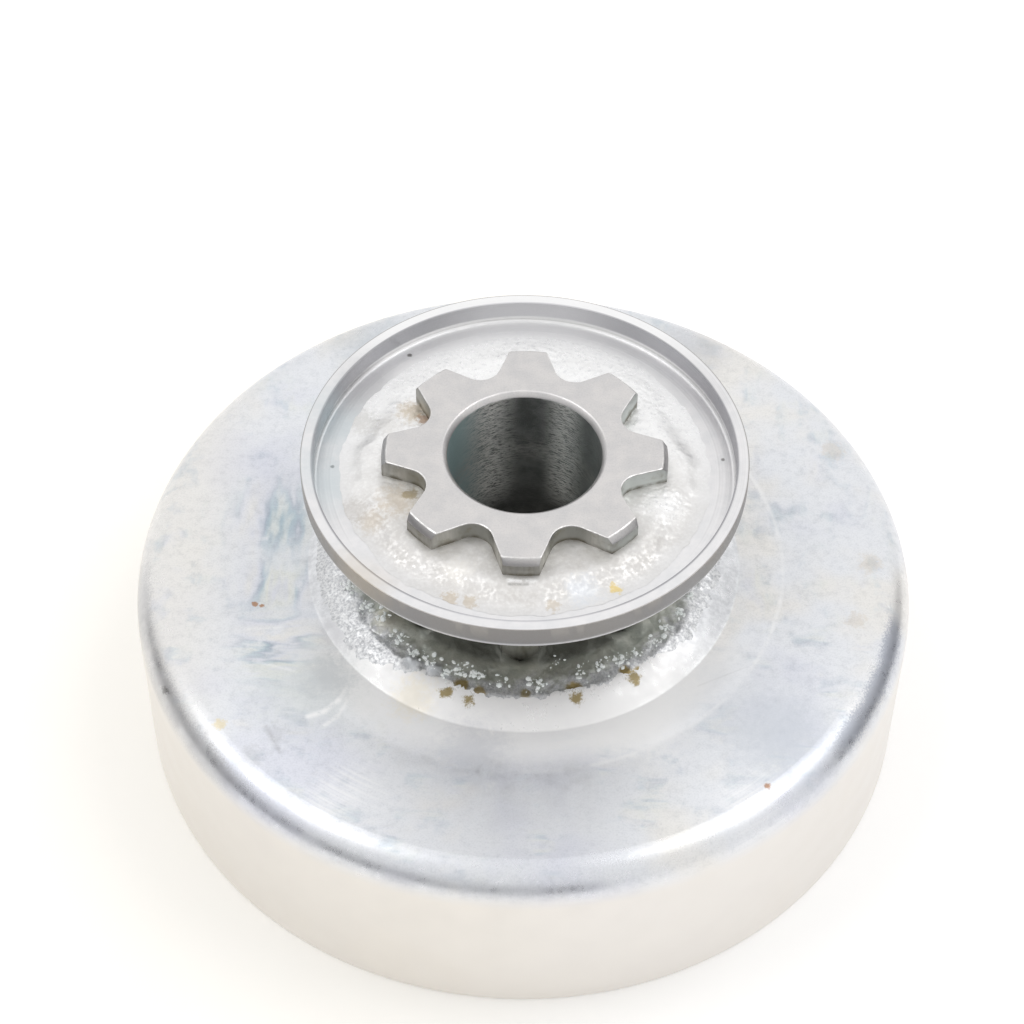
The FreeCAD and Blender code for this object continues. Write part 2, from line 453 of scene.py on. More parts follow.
def plate_pool_level(turn, radius, _gap, share):
    """Top of the pool on the plate: level between the teeth, coarse at the back and in one gap."""
    place = polar(radius, turn) / MM
    bed = smooth_step(CRYSTAL_BED_RADIUS, 0.5 * CRYSTAL_BED_RADIUS, (place - CRYSTAL_BED).length)
    coarse = max(BACK_COARSENESS * smooth_step(*COARSE_BACK, place.y), BED_COARSENESS * bed, LEAST_COARSENESS)
    depth = PLATE_POOL_DEPTH * (1 - BACK_THINNING * smooth_step(*THIN_BACK, place.y))
    thickness = PLATE_POOL_THIN + depth * smooth_step(*PLATE_POOL_SLOPE, radius)
    thickness += PLATE_LUMP_HEIGHT * lumps(place, LUMP_SIZE)
    thickness += coarse * PLATE_GRAIN_HEIGHT * (grains(place, PLATE_GRAIN) - PLATE_GRAIN_MIDDLE)
    return PLATE_FLOOR_LEVEL + max(thickness * smooth_step(1, PLATE_POOL_FEATHER, share), PLATE_POOL_LEAST)


def make_plate_pool(braze):
    """The granular pool on the plate's floor."""
    loop = StarLoop(PLATE_FLOOR_LEVEL, **POOL_STEPS)
    loop.sweep(star, PLATE_FLOOR_LEVEL + PLATE_POOL_EDGE + PLATE_POOL_CLIMB)
    top_faces = loop.sweep(PLATE_POOL_RADIUS, PLATE_FLOOR_LEVEL + PLATE_POOL_EDGE, out=1)
    loop.close()
    shape_pool(loop, top_faces, plate_pool_edge, plate_pool_level)
    add_piece(loop.done(), "plate_pool", "plate_braze", "braze", braze)


# How far the crust runs out, as shares of its reach, and the bearings where it runs out most
CRUST_REACH = 3.0
CRUST_LEAST = 0.22
CRUST_RIGHT_SHARE = 0.55
CRUST_LEFT = math.radians(192)
CRUST_RIGHT = math.radians(-14)
# Waves round the crust's edge: how close together they are, and their size in millimetres
CRUST_WAVES = {4: 0.4, 15: 0.35, 45: 0.3}
CRUST_MARGIN = 0.1
CRUST_RADII = (14, 16)
CRUST_DEPTH = 0.1
CRUST_SINK = 0.02
CRUST_LUMP = 1.6
CRUST_LUMP_HEIGHT = 0.12
CRUST_GRAIN = 0.55
CRUST_GRAIN_HEIGHT = 0.1
CRUST_GRAIN_MIDDLE = 0.35
FOOT_SPREAD = 0.55
TIP_FOOT = 19.8
CORNER_FOOT = 21.0
ROOT_FOOT = 20.9
# Rounded lumps in the collar: x, y, radius and height in millimetres
COLLAR_LUMPS = [
    (-12.3, -9.1, 1.7, 0.8), (-9.8, -13.9, 1.0, 0.5), (-7.7, -14.6, 0.8, 0.4), (15.4, -9.6, 1.2, 0.3),
]
CRYSTAL_SEED = 11
CRYSTAL_SIZES = (0.05, 0.34)
CRYSTAL_WIDTHS = (0.4, 1)
CRYSTAL_HEIGHTS = (0.4, 0.9)
CRYSTAL_TILTS = (0, 1)
CRYSTAL_SPREAD = 0.42
# Places of the clumps of crystals in the collar, x and y in millimetres, with the pairs in each
CRYSTAL_CLUMPS = [
    (-12.6, -9.4, 8), (-11.2, -11.1, 10), (-9.6, -12.6, 12), (-8.0, -13.6, 9), (-6.6, -14.9, 8),
    (-5.2, -14.4, 12), (-3.8, -15.1, 10), (-1.8, -15.7, 7), (1.0, -15.9, 5), (1.9, -16.0, 14),
    (3.6, -13.5, 4), (5.6, -14.6, 8), (7.2, -13.8, 9), (9.1, -13.1, 14), (10.6, -12.2, 9),
    (12.2, -10.9, 8), (13.4, -9.2, 8), (14.6, -7.4, 6), (15.3, -5.6, 5),
    (15.2, 4.6, 9), (12.0, 10.6, 9), (6.4, 14.8, 8), (0.4, 16.0, 9), (-5.8, 14.9, 8), (-11.4, 11.2, 9),
    (-15.6, 4.4, 8), (-17.0, -1.2, 9), (-16.0, -5.2, 10), (-14.6, -7.6, 9),
]


def collar_surface(radius):
    """Level of the drum's collar at a radius outside its crest, or of the crest inside that."""
    share = min(max((COLLAR_RADIUS - radius) / (COLLAR_RADIUS - CREST_OUTER_RADIUS), 0), 1)
    return flank_level(share)


def crust_width(turn):
    """How far the crust runs out over the collar: most on the left, less on the right, least at the front."""
    left = smooth_step(0.6, 0.95, math.cos(turn - CRUST_LEFT))
    right = CRUST_RIGHT_SHARE * smooth_step(0.8, 0.98, math.cos(turn - CRUST_RIGHT))
    return CRUST_REACH * max(left, right, CRUST_LEAST)


def collar_pool_edge(turn):
    edge = CREST_OUTER_RADIUS + crust_width(turn)
    edge += sum(size * wavy(turn, waves) for waves, size in CRUST_WAVES.items())
    return min(max(edge, CREST_INNER_RADIUS - CRUST_MARGIN), COLLAR_RADIUS - CRUST_MARGIN)


def tooth_foot(turn):
    """Level where the filler metal meets the teeth: high at the corners, low at the middle of a tip."""
    off = abs((turn - TOOTH_BEARING + HALF_PITCH) % (2 * HALF_PITCH) - HALF_PITCH)
    if off < HALF_TIP:
        return TIP_FOOT + (CORNER_FOOT - TIP_FOOT) * off / HALF_TIP
    return CORNER_FOOT + (ROOT_FOOT - CORNER_FOOT) * smooth_step(HALF_TIP, HALF_PITCH, off)


def collar_pool_level(turn, radius, gap, share):
    """Top of the pool in the collar: it climbs the teeth inside and thins to a crust outside."""
    place = polar(radius, turn) / MM
    inside = max((CREST_INNER_RADIUS - radius) / (CREST_INNER_RADIUS - ROOT_RADIUS), 0)
    base = collar_surface(radius) + COLLAR_POOL_CLIMB * inside
    foot = tooth_foot(turn) - base
    rough = smooth_step(*CRUST_RADII, radius)
    body = CRUST_DEPTH + CRUST_LUMP_HEIGHT * lumps(place, CRUST_LUMP)
    body += CRUST_GRAIN_HEIGHT * rough * (grains(place, CRUST_GRAIN) - CRUST_GRAIN_MIDDLE)
    for x, y, size, height in COLLAR_LUMPS:
        body += height * max(1 - ((place - Vector((x, y, 0))).length / size) ** 2, 0)
    body *= smooth_step(1, 0.7, share) * smooth_step(0, 0.4, gap)
    return base + body + foot * math.exp(-gap / FOOT_SPREAD) * smooth_step(1, 0.6, share) - CRUST_SINK


def add_crystals(bm):
    """Faceted crystals in clumps over the pool."""
    chance = random.Random(CRYSTAL_SEED)
    least, most = CRYSTAL_SIZES
    for x, y, pairs in CRYSTAL_CLUMPS:
        for _ in range(2 * pairs):
            spot = Vector((chance.gauss(x, CRYSTAL_SPREAD), chance.gauss(y, CRYSTAL_SPREAD), 0))
            turn = math.atan2(spot.y, spot.x)
            radius = max(spot.length, TIP_RADIUS + CRYSTAL_SPREAD)
            size = least + (most - least) * chance.random() ** 2
            level = collar_pool_level(turn, radius, radius - TIP_RADIUS, share=0.5)
            place = Matrix.Translation(polar(radius, turn, level))
            stretch = Matrix.Diagonal(
                (1, chance.uniform(*CRYSTAL_WIDTHS), chance.uniform(*CRYSTAL_HEIGHTS), 1))
            tilt = Matrix.Rotation(chance.uniform(*CRYSTAL_TILTS), 4, "X")
            spun = Matrix.Rotation(chance.uniform(0, FULL_TURN), 4, "Z")
            made = bmesh.ops.create_icosphere(bm, subdivisions=1, radius=size * MM,
                                              matrix=place @ spun @ tilt @ stretch)
            for face in {face for vert in made["verts"] for face in vert.link_faces}:
                face.material_index = 1


def make_collar_pool(braze, crystal):
    """The crusted pool between the collar's crest and the feet of the teeth."""
    loop = StarLoop(SEAT_LEVEL, **POOL_STEPS)
    loop.sweep(star, CREST_LEVEL + COLLAR_POOL_CLIMB)
    top_faces = loop.sweep(CREST_INNER_RADIUS, CREST_LEVEL, out=1)
    loop.sweep(SEAT_RADIUS, SEAT_LEVEL)
    loop.close()
    shape_pool(loop, top_faces, collar_pool_edge, collar_pool_level)
    bm = loop.done()
    add_crystals(bm)
    add_piece(bm, "collar_pool", "collar_braze", "braze", braze, crystal)


# Materials, with the middle of a noise's range, over which most looks change
MIDDLE = (0.3, 0.7)


def spaced(inputs):
    """Inputs under the names of their sockets, which have spaces."""
    return {name.replace("_", " "): value for name, value in inputs.items()}


class Wiring:
    """Adds nodes to a tree. An input is a plain value or the socket of another node."""

    def __init__(self, tree):
        self.tree = tree

    def feed(self, sockets, values):
        """Gives sockets their values, by name or number."""
        for key, value in values.items():
            if isinstance(value, bpy.types.NodeSocket):
                self.tree.links.new(value, sockets[key])
            else:
                sockets[key].default_value = value

    def add(self, kind, inputs=None, **settings):
        node = self.tree.nodes.new(kind)
        for name, value in settings.items():
            setattr(node, name, value)
        self.feed(node.inputs, inputs or {})
        return node

    def math(self, operation, *values, clamp=False):
        inputs = dict(enumerate(values))
        return self.add("ShaderNodeMath", inputs, operation=operation, use_clamp=clamp).outputs[0]

    def times(self, first, second):
        return self.math("MULTIPLY", first, second)

    def most(self, first, second):
        return self.math("MAXIMUM", first, second)

    def vector(self, operation, *values, output=0):
        return self.add("ShaderNodeVectorMath", dict(enumerate(values)), operation=operation).outputs[output]

    def scaled(self, vector, amount):
        inputs = {"Vector": vector, "Scale": amount}
        return self.add("ShaderNodeVectorMath", inputs, operation="SCALE").outputs[0]

    def noise(self, place, scale, detail=2.0, roughness=0.5):
        inputs = {"Vector": place, "Scale": scale, "Detail": detail, "Roughness": roughness}
        return self.add("ShaderNodeTexNoise", inputs).outputs["Fac"]

    def ramp(self, value, low, high, start=0.0, end=1.0):
        inputs = {"Value": value, "From Min": low, "From Max": high, "To Min": start, "To Max": end}
        return self.add("ShaderNodeMapRange", inputs, interpolation_type="SMOOTHSTEP").outputs[0]

    def near(self, value, centre, width):
        """1 where a value is at a centre, 0 where it is a width or more away."""
        off = self.math("ABSOLUTE", self.math("SUBTRACT", value, centre))
        return self.ramp(off, width, 0.0)

    def mix(self, factor, first, second, blend_type="MIX"):
        return self.add("ShaderNodeMix", {0: factor, 6: first, 7: second}, data_type="RGBA",
                        blend_type=blend_type, clamp_factor=True).outputs[2]

    def tones(self, value, first, second, span=MIDDLE):
        """A colour that goes from one to another as a value crosses a span."""
        return self.mix(self.ramp(value, *span), first, second)

    def colours(self, value, stops):
        """A colour ramp. Each stop is a position and a colour."""
        node = self.add("ShaderNodeValToRGB", {"Fac": value})
        elements = node.color_ramp.elements
        while len(elements) < len(stops):
            elements.new(1.0)
        for element, (position, tone) in zip(elements, stops):
            element.position = position
            element.color = tone
        return node.outputs["Color"]

    def group(self, tree, **inputs):
        return self.add("ShaderNodeGroup", spaced(inputs), node_tree=tree).outputs

    def separate(self, place):
        """The three coordinates of a place."""
        return self.add("ShaderNodeSeparateXYZ", {0: place}).outputs

    def stretched(self, place, scale, rotation):
        """A place turned, then scaled along each axis."""
        inputs = {"Vector": place, "Rotation": rotation, "Scale": scale}
        return self.add("ShaderNodeMapping", inputs).outputs[0]

    def bump(self, height, distance):
        inputs = {"Height": height, "Distance": distance * MM, "Strength": 1.0}
        return self.add("ShaderNodeBump", inputs).outputs[0]


def new_group(name, vectors, numbers, results):
    """A shader node group that takes vectors and numbers, and gives numbers."""
    tree = bpy.data.node_groups.new(name, "ShaderNodeTree")
    for labels, way, kind in (
            (vectors, "INPUT", "NodeSocketVector"),
            (numbers, "INPUT", "NodeSocketFloat"),
            (results, "OUTPUT", "NodeSocketFloat")):
        for label in labels:
            tree.interface.new_socket(name=label, in_out=way, socket_type=kind)
    given = tree.nodes.new("NodeGroupInput").outputs
    result = tree.nodes.new("NodeGroupOutput").inputs
    return tree, Wiring(tree), given, result


def rings_group():
    """Radius from the axis, and a measure that runs across flats and up walls, in millimetres."""
    tree, wire, given, result = new_group("rings", ["Place"], [], ["Radius", "Across"])
    flat = wire.vector("MULTIPLY", given["Place"], (1.0, 1.0, 0.0))
    radius = wire.vector("LENGTH", flat, output="Value")
    level = wire.separate(given["Place"])[2]
    wire.feed(result, {"Radius": radius, "Across": wire.math("ADD", radius, level)})
    return tree


def turning_lines_group():
    """Fine rings left by a lathe, which come and go over the surface."""
    tree, wire, given, result = new_group(
        "turning_lines", ["Place"], ["Across", "Lines per mm", "Patch size"], ["Height"])
    inputs = {"W": given["Across"], "Scale": given["Lines per mm"], "Detail": 3.0}
    lines = wire.add("ShaderNodeTexNoise", inputs, noise_dimensions="1D").outputs["Fac"]
    scale = wire.math("DIVIDE", 1.0, given["Patch size"])
    patch = wire.ramp(wire.noise(given["Place"], scale), 0.4, 0.62)
    wire.feed(result, {"Height": wire.times(lines, patch)})
    return tree


def spot_group():
    """A round spot with frayed edges, from its centre and radius in millimetres and its full share."""
    tree, wire, given, result = new_group("spot", ["Place", "Centre"], ["Radius", "Core", "Fray"], ["Mask"])
    far = wire.vector("DISTANCE", given["Place"], given["Centre"], output="Value")
    share = wire.math("ADD", wire.math("DIVIDE", far, given["Radius"]), given["Fray"])
    wire.feed(result, {"Mask": wire.ramp(share, 1.0, given["Core"])})
    return tree


def scratch_group():
    """One scratch between two points, in millimetres, broken up along its length."""
    tree, wire, given, result = new_group("scratch", ["Place", "Start", "End"], ["Width", "Fray"], ["Mask"])
    reach = wire.vector("SUBTRACT", given["Place"], given["Start"])
    whole = wire.vector("SUBTRACT", given["End"], given["Start"])
    along = wire.vector("DOT_PRODUCT", reach, whole, output="Value")
    square = wire.vector("DOT_PRODUCT", whole, whole, output="Value")
    nearest = wire.scaled(whole, wire.math("DIVIDE", along, square, clamp=True))
    off = wire.vector("DISTANCE", reach, nearest, output="Value")
    broken = wire.ramp(given["Fray"], -0.5, 0.1)
    line = wire.ramp(off, given["Width"], 0.0)
    wire.feed(result, {"Mask": wire.times(line, broken)})
    return tree


def hairlines_group():
    """Faint wiping marks that run one way, given by an angle, over a surface."""
    tree, wire, given, result = new_group("hairlines", ["Place", "Angle"], [], ["Mask"])
    turned = wire.stretched(given["Place"], (0.15, 9.0, 9.0), given["Angle"])
    lines = wire.ramp(wire.noise(turned, 1.0, 2.0, 0.6), 0.62, 0.76)
    patch = wire.ramp(wire.noise(given["Place"], 0.2, 3.0), 0.45, 0.65)
    wire.feed(result, {"Mask": wire.times(lines, patch)})
    return tree


RINGS = rings_group()
LINES = turning_lines_group()
SPOT = spot_group()
SCRATCH = scratch_group()
HAIRLINES = hairlines_group()


class Surface(Wiring):
    """A material: a base colour that other colours are laid over, on places in millimetres."""

    def __init__(self, name, metallic=1.0):
        self.material = bpy.data.materials.new(name)
        self.material.use_nodes = True
        super().__init__(self.material.node_tree)
        self.shader = self.tree.nodes["Principled BSDF"].inputs
        self.shader["Metallic"].default_value = metallic
        self.base = None

    @cached_property
    def place(self):
        coordinates = self.add("ShaderNodeTexCoord").outputs["Object"]
        return self.scaled(coordinates, 1 / MM)

    @cached_property
    def axes(self):
        return self.separate(self.place)

    @cached_property
    def rings(self):
        return self.group(RINGS, Place=self.place)

    def texture(self, *settings):
        return self.noise(self.place, *settings)

    def streaks(self, stretch, turn, *settings):
        """Noise drawn out along the axes, after a turn round the upright one."""
        return self.noise(self.stretched(self.place, stretch, (0.0, 0.0, turn)), *settings)

    def hairlines(self, angle):
        return self.group(HAIRLINES, Place=self.place, Angle=(0.0, 0.0, angle))["Mask"]

    def turning_lines(self, per_mm, patch):
        inputs = {"Across": self.rings["Across"], "Lines_per_mm": per_mm, "Patch_size": patch}
        return self.group(LINES, Place=self.place, **inputs)["Height"]

    def soft_spots(self, spots):
        """The strongest of several soft spots, each a centre and a radius in millimetres."""
        whole = None
        for centre, radius in spots:
            mask = self.group(SPOT, Place=self.place, Centre=centre, Radius=radius)["Mask"]
            whole = self.most(whole, mask) if whole else mask
        return whole

    def fray(self, amount=3.2):
        """An uneven value round 0, which frays the edges of spots and breaks up scratches."""
        return self.times(self.math("SUBTRACT", self.texture(1.4, 7.0, 0.8), 0.5), amount)

    def lay(self, mask, tone, blend_type="MIX"):
        self.base = self.mix(mask, self.base, tone, blend_type)

    def lay_spots(self, spots, frayed):
        """Each spot is a centre and a radius in millimetres, a colour and its strength."""
        for centre, radius, tone, strength in spots:
            size = max(radius, 1.0)
            inputs = {"Core": 0.5 / size, "Fray": self.math("DIVIDE", frayed, math.sqrt(size))}
            mask = self.group(SPOT, Place=self.place, Centre=centre, Radius=radius, **inputs)["Mask"]
            self.lay(self.times(mask, strength), tone)

    def lay_scratches(self, scratches, frayed):
        """Each scratch is two ends and a width in millimetres, a colour and its strength."""
        for start, end, width, tone, strength in scratches:
            inputs = {"Start": start, "End": end, "Width": width, "Fray": frayed}
            self.lay(self.times(self.group(SCRATCH, Place=self.place, **inputs)["Mask"], strength), tone)

    def finish(self, **inputs):
        """Gives the shader its base colour and other inputs."""
        self.feed(self.shader, {"Base Color": self.base, **spaced(inputs)})
        return self.material


def colour(red, green, blue):
    return (red, green, blue, 1.0)


def grey(tone):
    return colour(tone, tone, tone)


RUST = colour(0.42, 0.20, 0.08)
OLIVE = colour(0.31, 0.225, 0.06)
TAN = colour(0.55, 0.44, 0.29)
YELLOW = colour(0.80, 0.62, 0.20)
SOOT = colour(0.14, 0.13, 0.12)
BLUE_TINT = colour(0.56, 0.64, 0.67)
LILAC_TINT = colour(0.73, 0.745, 0.81)
WARM_TINT = colour(0.84, 0.82, 0.785)
FLOOR_REFLECTION_TINT = colour(0.86, 0.825, 0.78)
BARE = grey(0.95)
# Colours of a film of tarnish as it grows thicker
FILM = [
    (0.0, WARM_TINT),
    (0.25, LILAC_TINT),
    (0.42, colour(0.44, 0.50, 0.58)),
    (0.56, colour(0.48, 0.58, 0.64)),
    (0.70, colour(0.72, 0.76, 0.755)),
    (0.85, colour(0.80, 0.81, 0.76)),
    (1.0, LILAC_TINT),
]


# Where the drum's face is most tarnished, and where the lathe's lines show, painted bright as streaks of
# highlight
TARNISHED = [((-23.5, 4.0, 18.7), 7.0), ((-23.0, -4.0, 18.7), 5.5), ((-22.0, -11.5, 18.7), 6.5)]
LATHE_HIGHLIGHTS = [((16.0, -26.0, 18.7), 14.0), ((-14.0, -29.0, 18.7), 9.0)]
# Where dark reflections are painted on the shoulder: on the right, and more faintly on the left
RIGHT_DARK_REFLECTION = [((34.0, -9.0, 17.5), 6.0), ((32.6, -13.6, 17.5), 6.0), ((30.2, -18.0, 17.5), 6.0)]
LEFT_DARK_REFLECTION = [((-34.8, -6.0, 17.5), 9.0), ((-32.0, -15.6, 17.5), 9.0), ((-27.5, -22.6, 17.5), 8.0)]
DRUM_SPOTS = [
    ((-21.6, -20.9, 18.7), 1.2, SOOT, 0.15),
    ((-23.7, -23.6, 18.7), 1.8, SOOT, 0.15),
    ((-24.9, -6.2, 18.7), 0.35, RUST, 0.8),
    ((-24.2, -6.4, 18.7), 0.3, RUST, 0.8),
    ((-32.3, -15.6, 17.5), 0.6, SOOT, 0.5),
    ((-26.8, -20.1, 18.7), 0.7, YELLOW, 0.4),
    ((22.2, -25.3, 18.7), 0.4, RUST, 0.9),
    ((29.9, 14.8, 18.7), 1.6, TAN, 0.25),
    ((32.8, 0.4, 18.6), 1.5, TAN, 0.25),
    ((31.1, -6.4, 18.7), 1.3, TAN, 0.25),
    # Painted highlight: a bare white glow on the lip and face at the right front
    ((10.6, -18.6, 18.9), 7.0, BARE, 0.9),
    ((21.0, -17.5, 18.7), 9.0, colour(0.66, 0.68, 0.72), 0.45),
    ((-19.5, -16.0, 18.7), 8.0, colour(0.68, 0.715, 0.69), 0.45),
    ((-9.5, -17.0, 19.3), 3.0, YELLOW, 0.2),
    ((23.7, -19.9, 18.7), 7.5, colour(0.58, 0.61, 0.66), 0.7),
    ((-17.6, -14.8, 18.7), 4.0, colour(0.56, 0.59, 0.62), 0.6),
    ((-6.5, -16.8, 19.8), 0.75, OLIVE, 0.9),
    ((-4.6, -17.6, 19.8), 0.65, OLIVE, 0.9),
    ((5.2, -17.1, 19.9), 0.75, OLIVE, 0.9),
    ((10.4, -14.7, 19.8), 0.8, OLIVE, 0.9),
    ((15.5, 27.4, 18.7), 6.5, colour(0.45, 0.45, 0.46), 0.45),
    ((-15.5, 27.4, 18.7), 6.5, colour(0.42, 0.46, 0.49), 0.45),
    ((-4.0, -22.7, 18.7), 5.0, colour(0.58, 0.60, 0.66), 0.5),
    # Painted shade: a grey band on the edge of the crust at the left front
    ((-16.7, -9.7, 19.4), 3.0, colour(0.62, 0.62, 0.64), 0.7),
]
DRUM_SCRATCHES = [
    ((-18.9, -19.0, 18.7), (-17.5, -18.4, 18.7), 0.5, BARE, 0.8),
    ((-17.5, -18.4, 18.7), (-16.3, -17.1, 18.7), 0.45, BARE, 0.7),
    ((-16.3, -17.1, 18.7), (-15.7, -15.9, 18.7), 0.35, BARE, 0.5),
    ((-17.4, -20.0, 18.7), (-16.3, -18.9, 18.7), 0.4, BARE, 0.6),
    ((-16.3, -18.9, 18.7), (-15.5, -17.2, 18.7), 0.3, BARE, 0.5),
    ((34.2, -4.5, 18.6), (34.7, -5.1, 18.6), 0.15, BARE, 1.0),
    ((-2.5, -19.9, 18.9), (-2.2, -20.5, 18.9), 0.3, BARE, 1.0),
    ((-22.6, -20.3, 18.7), (-21.1, -23.0, 18.7), 0.4, SOOT, 0.2),
    ((16.2, -14.6, 18.8), (20.9, -12.1, 18.8), 0.15, SOOT, 0.1),
    ((-24.4, -12.9, 18.7), (-20.6, -13.9, 18.7), 0.3, BARE, 0.4),
    ((-25.2, -9.2, 18.7), (-22.0, -8.9, 18.7), 0.3, BARE, 0.4),
]
# Painted dark reflections in bands round the shoulder: their radius, where they show, their strength and
# their colour
SHOULDER_BANDS = [
    (35.3, RIGHT_DARK_REFLECTION, 0.8, colour(0.43, 0.455, 0.52)),
    (36.0, LEFT_DARK_REFLECTION, 0.55, colour(0.52, 0.52, 0.53)),
]
BAND_WIDTH = 1.3
PLATED_METALLIC = 0.85
LIT_RING_METALLIC = 0.2
POLISH = 0.14
CREASE_HIGHLIGHT_WIDTH = 0.35
# Spans in millimetres over which one look of the drum gives way to another: levels, radii, then x or y
WALL_LEVELS = (17.4, 15.0)
FILM_LEVELS = (17.0, 18.5)
GRAIN_LEVELS = (15.5, 17.5)
WIPED_LEVELS = (16.0, 18.0)
BAND_LEVELS = (15.5, 16.5)
POLISHED_RADII = (COLLAR_RADIUS + 0.15, COLLAR_RADIUS - 0.1)
LIT_RING_RADII = (25.5, 21.5)
DRAWN_RADII = (31.5, 34.5)
WARM_LEFT = (-25.0, -33.0)
STROKED_FRONT = (-5.0, -10.0)
LIT_RING_FRONT = (-7.0, -15.0)
LIP_SIDES = (12.5, 16.5)
CREASE_HIGHLIGHT_RIGHT = (-4.0, 8.0)


def plated_steel():
    """Bright plated pressing with films of tarnish, wiping marks and lathe lines, for the drum."""
    steel = Surface("plated_steel", PLATED_METALLIC)
    x, y, z = steel.axes
    radius = steel.rings["Radius"]
    slow = steel.texture(0.07, 3.0, 0.55)
    patchy = steel.texture(0.35, 4.0, 0.55)
    mottle = steel.texture(1.3, 5.0, 0.7)
    fine = steel.texture(6.0, 2.0, 0.6)
    grain = steel.ramp(z, *GRAIN_LEVELS, 0.0, 0.7)

    # Slow changes of tint
    steel.base = steel.tones(slow, colour(0.80, 0.815, 0.845), LILAC_TINT, (0.5, 0.66))
    steel.lay(steel.ramp(slow, 0.48, 0.34, 0.0, 0.8), WARM_TINT)
    steel.lay(steel.ramp(x, *WARM_LEFT, 0.0, 0.8), WARM_TINT)
    # Painted reflection: the warm cream of the floor laid on the drum's wall
    steel.lay(steel.ramp(z, *WALL_LEVELS, 0.0, 0.9), FLOOR_REFLECTION_TINT)

    # Films of tarnish, specks and wiping marks
    columns = steel.streaks((0.26, 0.07, 0.3), 0.0, 1.0, 3.0, 0.55)
    strokes = steel.streaks((0.12, 0.45, 0.3), 0.2, 1.0, 3.0, 0.55)
    change = steel.math("SUBTRACT", strokes, columns)
    thickness = steel.math("MULTIPLY_ADD", change, steel.ramp(y, *STROKED_FRONT), columns)
    tarnish = steel.times(steel.soft_spots(TARNISHED), steel.ramp(patchy, 0.27, 0.46))
    faint = steel.times(steel.ramp(patchy, 0.5, 0.7, 0.0, 0.4), steel.ramp(z, *FILM_LEVELS))
    steel.lay(steel.most(tarnish, faint), steel.colours(steel.ramp(thickness, 0.28, 0.72), FILM))
    for texture, low, high in ((mottle, 0.45, 0.75), (fine, 0.4, 0.8)):
        specks = steel.times(steel.ramp(texture, low, high), grain)
        steel.lay(specks, colour(0.86, 0.865, 0.87), "MULTIPLY")
    wiped = steel.most(steel.hairlines(0.35), steel.hairlines(1.9))
    steel.lay(steel.times(wiped, steel.ramp(z, *WIPED_LEVELS, 0.0, 0.2)), BARE)

    # The polished lip of the collar with painted light and shade, lighter at the front and back and darker at
    # the sides, and painted light on the ring in front of it under the plate
    polished = steel.ramp(radius, *POLISHED_RADII)
    # Painted light and shade: a lit and a shaded copy of the lip's colour, chosen by how far the lip lies to
    # the side
    bright = steel.tones(mottle, colour(0.95, 0.945, 0.93), colour(0.84, 0.84, 0.855))
    shaded_lip = steel.tones(mottle, colour(0.82, 0.83, 0.85), colour(0.66, 0.67, 0.69), (0.35, 0.65))
    steel.lay(polished, steel.tones(steel.math("ABSOLUTE", x), bright, shaded_lip, LIP_SIDES))
    # Painted light: the ring in front of the lip, under the plate, laid towards bare white and made less
    # metallic
    lit_front_ring = steel.times(steel.ramp(radius, *LIT_RING_RADII), steel.ramp(y, *LIT_RING_FRONT))
    steel.lay(steel.times(lit_front_ring, 0.8), BARE)

    # Lathe lines painted bright as streaks of highlight, a painted highlight along the crease round the flat
    # face, and painted dark reflections in bands round the shoulder
    # Lathe lines, partly real marks and partly painted highlight: bright streaks laid on the colour
    turned = steel.times(steel.turning_lines(3.5, 14.0), steel.soft_spots(LATHE_HIGHLIGHTS))
    steel.lay(steel.ramp(turned, 0.1, 0.6, 0.0, 0.6), BARE)
    # Painted highlight: a bright line along the crease, on the right only
    crease = steel.near(radius, FACE_FLAT_RADIUS, CREASE_HIGHLIGHT_WIDTH)
    crease = steel.times(crease, steel.ramp(patchy, 0.4, 0.6, 0.1, 0.45))
    steel.lay(steel.times(crease, steel.ramp(x, *CREASE_HIGHLIGHT_RIGHT)), BARE)
    ragged = steel.math("ADD", radius, steel.ramp(fine, 0.2, 0.8, -0.4, 0.4))
    # Painted reflection: dark bands round the shoulder
    for centre, where, strength, tone in SHOULDER_BANDS:
        band = steel.times(steel.near(ragged, centre, BAND_WIDTH), steel.soft_spots(where))
        band = steel.times(steel.ramp(band, 0.0, 0.7, 0.0, strength), steel.ramp(z, *BAND_LEVELS))
        steel.lay(band, tone)

    frayed = steel.fray()
    steel.lay_spots(DRUM_SPOTS, frayed)
    steel.lay_scratches(DRUM_SCRATCHES, frayed)
    uneven = steel.times(steel.ramp(mottle, *MIDDLE, -0.09, 0.09), grain)
    rough = steel.math("ADD", steel.ramp(patchy, *MIDDLE, 0.42, 0.52), uneven)
    smoothed = steel.most(steel.ramp(radius, *DRAWN_RADII, 0.0, POLISH), steel.times(polished, POLISH))
    pitted = steel.times(steel.math("ADD", fine, mottle), grain)
    # The fine rings of the lathe spread highlights across them
    tangent = steel.add("ShaderNodeTangent", direction_type="RADIAL", axis="Z").outputs[0]
    return steel.finish(
        Metallic=steel.ramp(lit_front_ring, 0.0, 1.0, PLATED_METALLIC, LIT_RING_METALLIC),
        Roughness=steel.math("SUBTRACT", rough, smoothed),
        Normal=steel.bump(pitted, 0.003),
        Anisotropic=0.6, Anisotropic_Rotation=0.25, Tangent=tangent,
    )


